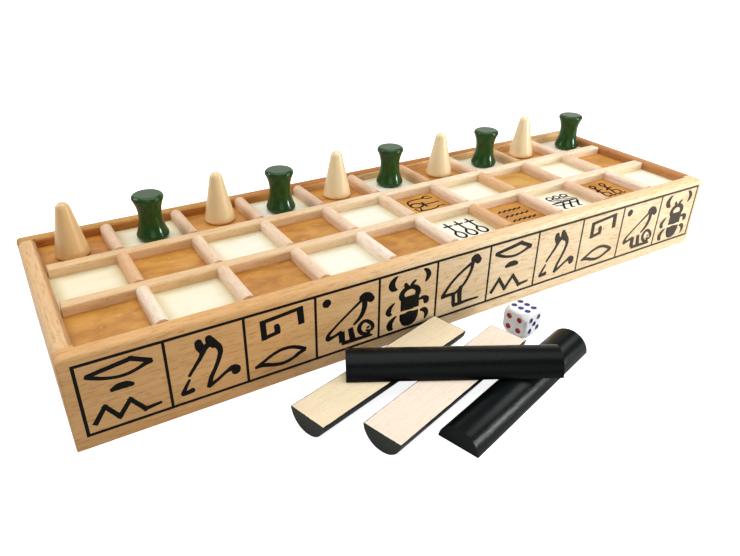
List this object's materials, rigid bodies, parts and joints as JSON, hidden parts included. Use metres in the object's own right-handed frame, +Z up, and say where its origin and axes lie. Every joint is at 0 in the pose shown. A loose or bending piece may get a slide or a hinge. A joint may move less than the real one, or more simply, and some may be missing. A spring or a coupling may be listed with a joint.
{
  "type": "senet board",
  "caption": "Wooden box board game with rows of sunk squares between rounded strips, an end drawer, cone and spool pawns, half-round throwing sticks and a die.",
  "frame": {"origin": "centre of the box's underside", "axes": "+X right along the box to its drawer, +Y to its back, +Z up"},
  "size_m": [0.381, 0.1983, 0.0652],
  "materials": {
    "beech": "satin",
    "pale_beech": "satin",
    "ply": "satin",
    "cream_lacquer": "gloss",
    "green_lacquer": "gloss",
    "black_lacquer": "satin",
    "white_plastic": "gloss"
  },
  "bodies": {
    "board": {"front_board": "beech", "back_board": "beech", "left_end": "beech", "right_end": "beech", "play_panel": "ply", "base_panel": "ply", "drawer_stop": "beech", "front_rail": "pale_beech", "back_rail": "pale_beech", "divider_front_1": "pale_beech", "divider_front_2": "pale_beech", "divider_front_3": "pale_beech", "divider_front_4": "pale_beech", "divider_front_5": "pale_beech", "divider_front_6": "pale_beech", "divider_front_7": "pale_beech", "divider_front_8": "pale_beech", "divider_front_9": "pale_beech", "divider_middle_1": "pale_beech", "divider_middle_2": "pale_beech", "divider_middle_3": "pale_beech", "divider_middle_4": "pale_beech", "divider_middle_5": "pale_beech", "divider_middle_6": "pale_beech", "divider_middle_7": "pale_beech", "divider_middle_8": "pale_beech", "divider_middle_9": "pale_beech", "divider_back_1": "pale_beech", "divider_back_2": "pale_beech", "divider_back_3": "pale_beech", "divider_back_4": "pale_beech", "divider_back_5": "pale_beech", "divider_back_6": "pale_beech", "divider_back_7": "pale_beech", "divider_back_8": "pale_beech", "divider_back_9": "pale_beech"},
    "drawer": {"drawer_front": "beech", "drawer_left_side": "pale_beech", "drawer_right_side": "pale_beech", "drawer_back": "pale_beech", "drawer_bottom": "ply", "drawer_knob": "beech"},
    "cone_pawn_1": {"cone_pawn_1": "cream_lacquer"},
    "cone_pawn_2": {"cone_pawn_2": "cream_lacquer"},
    "cone_pawn_3": {"cone_pawn_3": "cream_lacquer"},
    "cone_pawn_4": {"cone_pawn_4": "cream_lacquer"},
    "cone_pawn_5": {"cone_pawn_5": "cream_lacquer"},
    "spool_pawn_1": {"spool_pawn_1": "green_lacquer"},
    "spool_pawn_2": {"spool_pawn_2": "green_lacquer"},
    "spool_pawn_3": {"spool_pawn_3": "green_lacquer"},
    "spool_pawn_4": {"spool_pawn_4": "green_lacquer"},
    "spool_pawn_5": {"spool_pawn_5": "green_lacquer"},
    "stick_left": {"stick_left": "black_lacquer"},
    "stick_middle": {"stick_middle": "black_lacquer"},
    "stick_right": {"stick_right": "black_lacquer"},
    "stick_across": {"stick_across": "black_lacquer"},
    "die": {"die": "white_plastic"}
  },
  "joints": [
    {"name": "drawer_slide", "type": "slide", "parent": "board", "child": "drawer", "axis": [1, 0, 0], "range_m": [0, 0.15]},
    {"name": "cone_pawn_1_lift", "type": "slide", "parent": "board", "child": "cone_pawn_1", "axis": [0, 0, 1], "range_m": [0, 0.06]},
    {"name": "cone_pawn_2_lift", "type": "slide", "parent": "board", "child": "cone_pawn_2", "axis": [0, 0, 1], "range_m": [0, 0.06]},
    {"name": "cone_pawn_3_lift", "type": "slide", "parent": "board", "child": "cone_pawn_3", "axis": [0, 0, 1], "range_m": [0, 0.06]},
    {"name": "cone_pawn_4_lift", "type": "slide", "parent": "board", "child": "cone_pawn_4", "axis": [0, 0, 1], "range_m": [0, 0.06]},
    {"name": "cone_pawn_5_lift", "type": "slide", "parent": "board", "child": "cone_pawn_5", "axis": [0, 0, 1], "range_m": [0, 0.06]},
    {"name": "spool_pawn_1_lift", "type": "slide", "parent": "board", "child": "spool_pawn_1", "axis": [0, 0, 1], "range_m": [0, 0.06]},
    {"name": "spool_pawn_2_lift", "type": "slide", "parent": "board", "child": "spool_pawn_2", "axis": [0, 0, 1], "range_m": [0, 0.06]},
    {"name": "spool_pawn_3_lift", "type": "slide", "parent": "board", "child": "spool_pawn_3", "axis": [0, 0, 1], "range_m": [0, 0.06]},
    {"name": "spool_pawn_4_lift", "type": "slide", "parent": "board", "child": "spool_pawn_4", "axis": [0, 0, 1], "range_m": [0, 0.06]},
    {"name": "spool_pawn_5_lift", "type": "slide", "parent": "board", "child": "spool_pawn_5", "axis": [0, 0, 1], "range_m": [0, 0.06]},
    {"name": "stick_left_draw", "type": "slide", "parent": "board", "child": "stick_left", "axis": [-0.9636, -0.2672, 0], "range_m": [0, 0.1]},
    {"name": "stick_middle_draw", "type": "slide", "parent": "board", "child": "stick_middle", "axis": [-0.9542, -0.299, 0], "range_m": [0, 0.1]},
    {"name": "stick_right_draw", "type": "slide", "parent": "board", "child": "stick_right", "axis": [-0.9563, -0.2924, 0], "range_m": [0, 0.1]},
    {"name": "stick_across_lift", "type": "slide", "parent": "board", "child": "stick_across", "axis": [0, 0, 1], "range_m": [0, 0.06]},
    {"name": "die_lift", "type": "slide", "parent": "board", "child": "die", "axis": [0, 0, 1], "range_m": [0, 0.06]}
  ]
}
